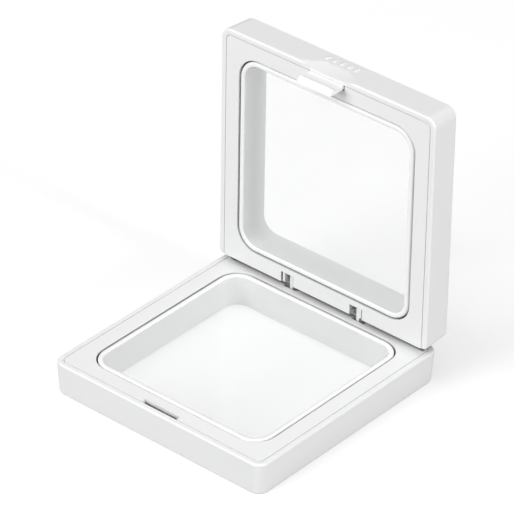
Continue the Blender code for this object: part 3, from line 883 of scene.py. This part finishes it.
@dataclass
class Lid(CaseHalf):
    """The upper half, with the thumb scoop, grip ribs, hinge cheeks, pins and latch tongue."""

    hinge_y: float = 32.8 * MM
    hinge_z: float = -2.9 * MM
    back: float = 34.05 * MM
    back_corner: float = 1.3 * MM
    mouth_back: float = 32.0 * MM
    plate_back_corner: float = 0.45 * MM
    notch_height: float = 4.1 * MM
    notch_depth: float = 5.25 * MM
    inner_cheek: tuple[float, float] = (8.1 * MM, 9.4 * MM)
    outer_cheek: tuple[float, float] = (12.75 * MM, 13.4 * MM)
    cheek_front: float = 31.1 * MM
    cheek_back: float = 33.95 * MM
    bore_radius: float = 0.74 * MM
    pin_radius: float = 0.6 * MM
    pin_edge: float = 0.12 * MM
    scoop_radius: float = 11.5 * MM
    scoop_depth: float = 1.15 * MM
    scoop_rise: float = 6.5 * MM
    rib_count: int = 5
    rib_pitch: float = 2.4 * MM
    rib_size: tuple[float, float, float] = (0.7 * MM, 0.6 * MM, 2.0 * MM)
    rib_proud: float = 0.2 * MM
    rib_edge: float = 0.15 * MM
    rib_depth: float = 6.5 * MM
    tongue_half: float = 5.6 * MM
    tongue_outer: float = 33.85 * MM
    tongue_inner: float = 32.75 * MM
    blade_end: float = 3.4 * MM
    barb_steps: tuple[tuple[float, float], ...] = (
        (0.3 * MM, 0.45 * MM),
        (0.25 * MM, 0.0),
        (1.55 * MM, -1.3 * MM),
    )
    hook_edge: float = 0.1 * MM
    root_depth: float = 6.8 * MM
    root_radius: float = 0.5 * MM

    def wall_outline(self, depth: float) -> Section:
        """Returns the outer wall's outline, which ends square at the hinge."""
        return replace(super().wall_outline(depth), back=self.back, back_corner=self.back_corner)

    def mouth_outline(self, depth: float) -> Section:
        """Returns the outline inside the rim, whose back is cut away later."""
        return replace(super().mouth_outline(depth), back=self.mouth_back)

    def plate_outline(self, depth: float) -> Section:
        """Returns the face frame's outline, which runs out to the square end."""
        return replace(super().plate_outline(depth), back=self.back, back_corner=self.plate_back_corner)

    def back_rim_tool(self) -> bpy.types.Object:
        """Returns the cutter that takes the rim off the back edge."""
        return Bench.block(
            "back_rim_tool",
            (-self.mouth_half, self.mouth_back - 2 * self.over, -self.shelf_depth - self.crisp_edge / 2),
            (self.mouth_half, self.case_half + self.over, self.over),
        )

    def scoop_tool(self) -> bpy.types.Object:
        """Returns the ball that presses the shallow dish squarely into the sloping front wall."""
        ball = (self.scoop_radius**2 + self.scoop_depth**2) / (2 * self.scoop_depth)
        slope = math.atan2(self.flare, self.thickness)
        reach = ball - self.scoop_depth
        wall = self.wall_half(-self.scoop_rise)
        Bench.clear_selection()
        bpy.ops.mesh.primitive_uv_sphere_add(
            segments=256,
            ring_count=192,
            radius=ball,
            location=(0, -wall - reach * math.cos(slope), self.scoop_rise - reach * math.sin(slope)),
            rotation=(math.radians(90), 0, 0),
        )
        bpy.ops.object.transform_apply(location=True, rotation=True, scale=True)
        return Bench.name(bpy.context.object, "scoop_tool")

    def ribs(self) -> list[bpy.types.Object]:
        """Models the short grip ribs beside the scoop."""
        long_x, long_y, long_z = self.rib_size
        made = []
        for index in range(self.rib_count):
            middle_x = (index - (self.rib_count - 1) / 2) * self.rib_pitch
            outer_y = -self.wall_half(self.rib_depth) - self.rib_proud
            rib = Bench.block(
                "rib",
                (middle_x - long_x / 2, outer_y, -self.rib_depth - long_z / 2),
                (middle_x + long_x / 2, outer_y + long_y, -self.rib_depth + long_z / 2),
            )
            self.soften_rib(rib, outer_y)
            made.append(rib)
        return made

    def soften_rib(self, rib: bpy.types.Object, outer_y: float) -> None:
        """Rounds a rib's crown and its four corners."""

        def chosen(first: Vector, second: Vector) -> bool:
            """Says whether an edge is on the crown or at a corner."""
            return min(first.y, second.y) < outer_y + MERGE or abs(first.y - second.y) > MERGE

        Bench.round_edges(rib, chosen, self.rib_edge, 3)

    def cheeks(self) -> tuple[list[bpy.types.Object], list[bpy.types.Object]]:
        """Models the fins that hold the hinge pins.

        Returns:
            The fins to join to the shell, and the bores to cut from them.
        """
        fins, bores = [], []
        floor = self.bezel / 2 - self.thickness
        for side in (-1, 1):
            for (near, far), start in (
                (self.inner_cheek, self.shelf_depth),
                (self.outer_cheek, self.fit_gap),
            ):
                low_x, high_x = sorted((side * near, side * far))
                fins.append(
                    Bench.block("cheek", (low_x, self.cheek_front, floor), (high_x, self.cheek_back, -start))
                )
                bores.append(
                    Bench.rod(
                        "cheek_bore",
                        self.bore_radius,
                        low_x - self.over / 3,
                        high_x + self.over / 3,
                        self.hinge_y,
                        self.hinge_z,
                    )
                )
        return fins, bores

    def build_pins(self) -> None:
        """Models the two hinge pins, with their ends rounded over."""
        for side, name in ((-1, "right"), (1, "left")):
            low_x, high_x = sorted((side * self.inner_cheek[0], side * self.outer_cheek[1]))
            pin = Bench.rod(
                f"steel_pin_{name}", self.pin_radius, low_x, high_x, self.hinge_y, self.hinge_z, 40
            )
            Bench.round_edges(
                pin, lambda first, second: abs(first.x - second.x) < MERGE, self.pin_edge, 3
            )
            self.dress(pin, PIN_STEEL.material(), f"hinge_pin_{name}", "lid", "pin_steel")

    def build_tongue(self) -> None:
        """Models the sprung latch tongue by drawing its blade out into a barb with a sloping nose."""
        tongue = Bench.block(
            "latch_hook",
            (-self.tongue_half, -self.tongue_outer, -self.root_depth),
            (self.tongue_half, -self.tongue_inner, self.blade_end),
        )
        Bench.activate(tongue)
        bpy.ops.object.mode_set(mode="EDIT")
        bpy.ops.mesh.select_mode(type="FACE")
        mesh = bmesh.from_edit_mesh(tongue.data)
        for face in mesh.faces:
            face.select_set(face.normal.z > 0.9)
        bmesh.update_edit_mesh(tongue.data)
        for rise, swell in self.barb_steps:
            bpy.ops.mesh.extrude_region_move(TRANSFORM_OT_translate={"value": (0, 0, rise)})
            mesh = bmesh.from_edit_mesh(tongue.data)
            nose = [vert for vert in mesh.verts if vert.select]
            front = min(vert.co.y for vert in nose)
            for vert in nose:
                if vert.co.y < front + MERGE:
                    vert.co.y -= swell
            bmesh.update_edit_mesh(tongue.data)
        bpy.ops.mesh.select_mode(type="VERT")
        bpy.ops.object.mode_set(mode="OBJECT")
        above_root = -self.root_depth + MERGE
        Bench.round_edges(
            tongue, lambda first, second: max(first.z, second.z) > above_root, self.hook_edge, 3
        )
        middle_y = -(self.tongue_outer + self.tongue_inner) / 2
        reach = self.tongue_half - self.crisp_edge
        bead = Bench.rod("root_bead", self.root_radius, -reach, reach, middle_y, -self.root_depth)
        Bench.boolean(tongue, [bead], Way.JOIN)
        self.dress(tongue, WHITE_SHELL.material(), "latch_tongue", "latch", "shell_plastic")

    def build(self) -> None:
        """Models, dresses and seats every piece of the lid."""
        shell = self.model_shell()
        bay = Bench.block(
            "bay_tool",
            (-self.slot_half, -self.mouth_half, self.bezel - self.thickness),
            (self.slot_half, -self.cavity_half + self.over, -self.shelf_depth / 2),
        )
        notches = self.notch_tools(self.case_half - self.notch_height, self.notch_depth)
        Bench.boolean(shell, [self.back_rim_tool(), bay, self.scoop_tool(), *notches], Way.CUT)
        fins, bores = self.cheeks()
        Bench.boolean(shell, [*self.ribs(), *fins], Way.JOIN)
        Bench.boolean(shell, bores, Way.CUT)
        self.dress(shell, WHITE_SHELL.material(), "lid_shell", "lid", "shell_plastic")
        plate = self.model_plate()
        notches = self.notch_tools(self.case_half - self.notch_height, self.notch_depth)
        Bench.boolean(plate, [self.slot_tool(), *notches], Way.CUT)
        self.dress(plate, WHITE_PLATE.material(), "lid_face_plate", "lid", "plate_plastic")
        self.dress(self.model_ring(), WHITE_RING.material(), "lid_film_ring", "lid", "ring_plastic")
        self.dress(self.model_film(), CLEAR_FILM.material(), "lid_film", "lid", "clear_film")
        self.build_pins()
        self.build_tongue()


@dataclass(frozen=True)
class Softbox:
    """A square lamp that faces the case.

    Args:
        name: Its name.
        place: Where it hangs, from the point on the floor under the middle of the base.
        size: The length of its sides.
        power: Its power in watts.
    """

    name: str
    place: tuple[float, float, float]
    size: float
    power: float

    def hang(self, middle: Vector) -> None:
        """Adds the lamp and turns it to the case."""
        data = bpy.data.lights.new(self.name, "AREA")
        data.shape = "SQUARE"
        data.size = self.size
        data.energy = self.power
        lamp = bpy.data.objects.new(self.name, data)
        bpy.context.scene.collection.objects.link(lamp)
        lamp.location = middle + Vector(self.place)
        lamp.rotation_euler = (-Vector(self.place)).to_track_quat("-Z", "Y").to_euler()


@dataclass
class Studio:
    """Floor, soft light and camera.

    Args:
        middle: The point on the floor under the middle of the base.
        azimuth: The camera's angle round the case from its front, in degrees.
        elevation: The camera's angle above the floor, in degrees.
        roll: How far the camera is turned about its own view, in degrees.
        distance: How far the camera stands from its aim.
        lens: The camera's focal length in millimetres.
        aim: What the camera looks at, from the middle.
        floor_size: The length of the floor's sides.
        surroundings: How bright the even light round the case is.
        floor_lift: How much brighter the floor looks to the camera than it lights the case.
        softboxes: The lamps.
    """

    middle: Vector
    azimuth: float = 40.27
    elevation: float = 33.12
    roll: float = 0.94
    distance: float = 1.0870
    lens: float = 299.6
    aim: tuple[float, float, float] = (0.00308, 0.0, 0.04083)
    floor_size: float = 6.0
    surroundings: float = 0.20
    floor_lift: float = 0.54
    softboxes: tuple[Softbox, ...] = (
        Softbox("top_softbox", (0.0, -0.2, 1.3), 1.3, 8.5),
        Softbox("front_softbox", (-0.5, -1.4, 0.85), 1.0, 19.5),
        Softbox("side_softbox", (1.6, 0.03, 0.45), 0.28, 13.5),
    )

    def lay_floor(self) -> None:
        """Lays a plain pale floor."""
        Bench.clear_selection()
        bpy.ops.mesh.primitive_plane_add(size=self.floor_size)
        floor = Bench.name(bpy.context.object, "floor")
        material = bpy.data.materials.new("pale_floor")
        material.use_nodes = True
        shader = material.node_tree.nodes["Principled BSDF"]
        shader.inputs["Base Color"].default_value = (0.5, 0.5, 0.5, 1.0)
        shader.inputs["Roughness"].default_value = 0.9
        shader.inputs["Specular IOR Level"].default_value = 0.1
        shader.inputs["Emission Color"].default_value = (1.0, 1.0, 1.0, 1.0)
        ray = material.node_tree.nodes.new("ShaderNodeLightPath")
        lift = material.node_tree.nodes.new("ShaderNodeMath")
        lift.operation = "MULTIPLY"
        lift.inputs[1].default_value = self.floor_lift
        material.node_tree.links.new(ray.outputs["Is Camera Ray"], lift.inputs[0])
        material.node_tree.links.new(lift.outputs[0], shader.inputs["Emission Strength"])
        floor.data.materials.append(material)

    def light(self) -> None:
        """Hangs the soft lamps and sets the even light round the case."""
        for softbox in self.softboxes:
            softbox.hang(self.middle)
        world = bpy.data.worlds.new("studio")
        bpy.context.scene.world = world
        world.use_nodes = True
        backdrop = world.node_tree.nodes["Background"]
        backdrop.inputs["Color"].default_value = (1.0, 1.0, 1.0, 1.0)
        backdrop.inputs["Strength"].default_value = self.surroundings

    def place_camera(self) -> None:
        """Sets the camera at its angle and distance."""
        azimuth, elevation = math.radians(self.azimuth), math.radians(self.elevation)
        away = Vector(
            (
                math.sin(azimuth) * math.cos(elevation),
                -math.cos(azimuth) * math.cos(elevation),
                math.sin(elevation),
            )
        )
        data = bpy.data.cameras.new("camera")
        data.lens = self.lens
        data.sensor_width = SENSOR_WIDTH
        data.clip_start = 0.01
        camera = bpy.data.objects.new("camera", data)
        bpy.context.scene.collection.objects.link(camera)
        turn = away.to_track_quat("Z", "Y").to_matrix() @ Matrix.Rotation(math.radians(self.roll), 3, "Z")
        stand = self.middle + Vector(self.aim) + away * self.distance
        camera.matrix_world = Matrix.Translation(stand) @ turn.to_4x4()
        bpy.context.scene.camera = camera

    def develop(self) -> None:
        """Keeps the picture's tones as they are lit."""
        view = bpy.context.scene.view_settings
        view.view_transform = "Standard"
        view.look = "None"


def base_placement() -> Matrix:
    """Returns the base's placement, read from the frame."""
    _, plate_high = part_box("base_face_plate")
    film_low, film_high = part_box("base_film")
    return Matrix.Translation((0, (film_low.y + film_high.y) / 2, plate_high.z))


def lid_placement() -> Matrix:
    """Returns the placement of the open lid, read from the frame."""
    plate_low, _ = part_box("lid_face_plate")
    film_low, film_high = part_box("lid_film")
    turned = Matrix(((-1, 0, 0), (0, 0, -1), (0, -1, 0)))
    return Matrix.Translation((0, plate_low.y, (film_low.z + film_high.z) / 2)) @ turned.to_4x4()


def main() -> None:
    """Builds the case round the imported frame, then the studio round the case."""
    logging.basicConfig(level=logging.INFO, format="%(name)s: %(message)s")
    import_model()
    base = Base("base", BASE_THICKNESS, base_placement())
    lid = Lid("lid", LID_THICKNESS, lid_placement())
    base.build()
    lid.build()
    studio = Studio(Vector((0, base_placement().translation.y, 0)))
    studio.lay_floor()
    studio.light()
    studio.place_camera()
    studio.develop()


if __name__ == "__main__":
    main()
